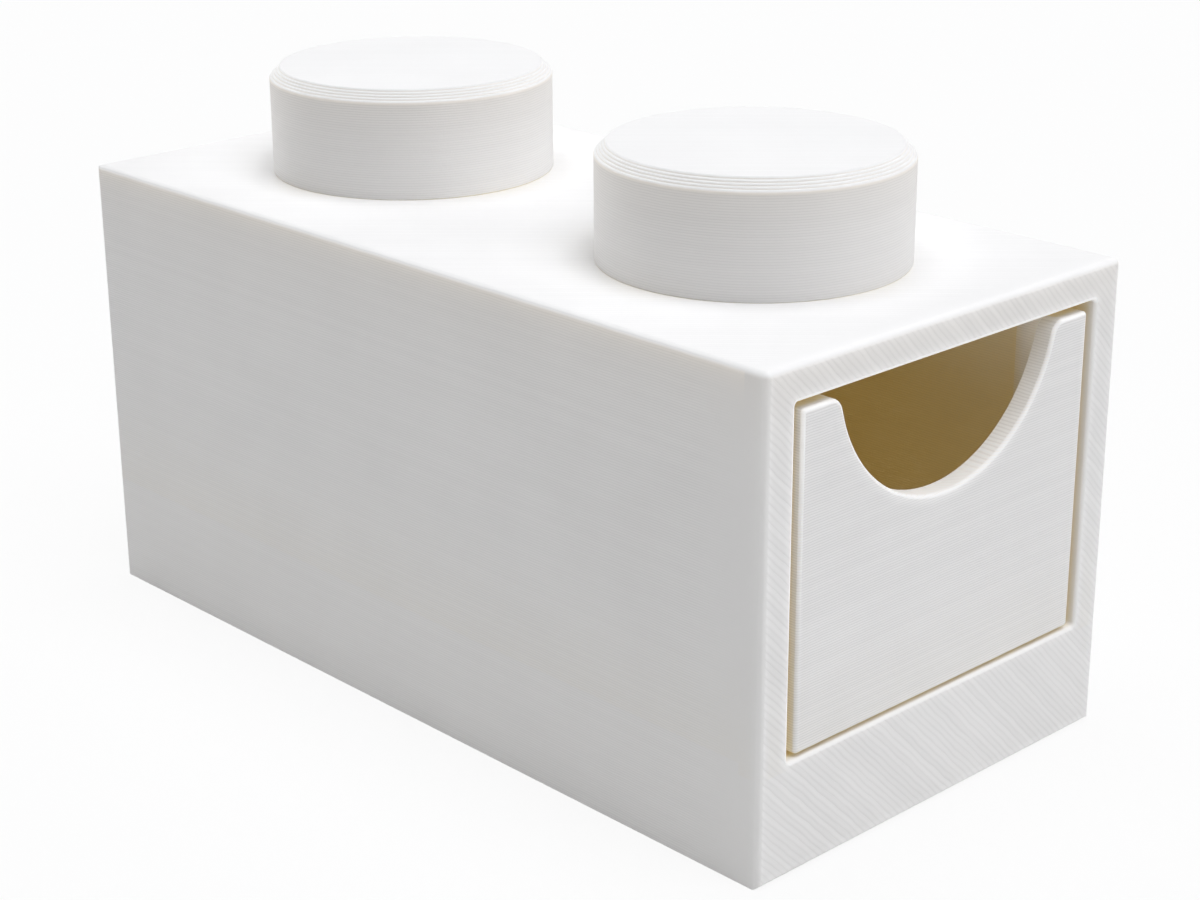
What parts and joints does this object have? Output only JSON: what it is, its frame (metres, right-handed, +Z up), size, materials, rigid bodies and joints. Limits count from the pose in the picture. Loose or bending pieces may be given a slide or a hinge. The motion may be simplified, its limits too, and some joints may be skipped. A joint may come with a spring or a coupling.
{
  "type": "brick shaped storage drawer",
  "caption": "Stackable storage drawer in the shape of a long building brick with round studs; one open-topped drawer with a half-round finger cut-out slides out of the end.",
  "frame": {"origin": "middle of the body's footprint, on the surface that the brick stands on", "axes": "+X across the width, +Y from the drawer's face to the back wall, +Z up through the studs"},
  "size_m": [0.039, 0.079, 0.0474],
  "materials": {
    "case_print": "white printed plastic with level layer lines",
    "frame_print": "white printed plastic with 45 degree fill lines on its face",
    "stud_print": "white printed plastic with ring layers",
    "drawer_print": "white printed plastic with level layer lines"
  },
  "bodies": {
    "case": {"case_shell": "case_print", "front_frame": "frame_print", "bay_floor": "case_print", "front_stud": "stud_print", "rear_stud": "stud_print"},
    "drawer": {"drawer_tray": "drawer_print", "drawer_front": "drawer_print"}
  },
  "joints": [
    {"name": "drawer_slide", "type": "slide", "parent": "case", "child": "drawer", "axis": [0, -1, 0], "range_m": [0, 0.06]}
  ]
}
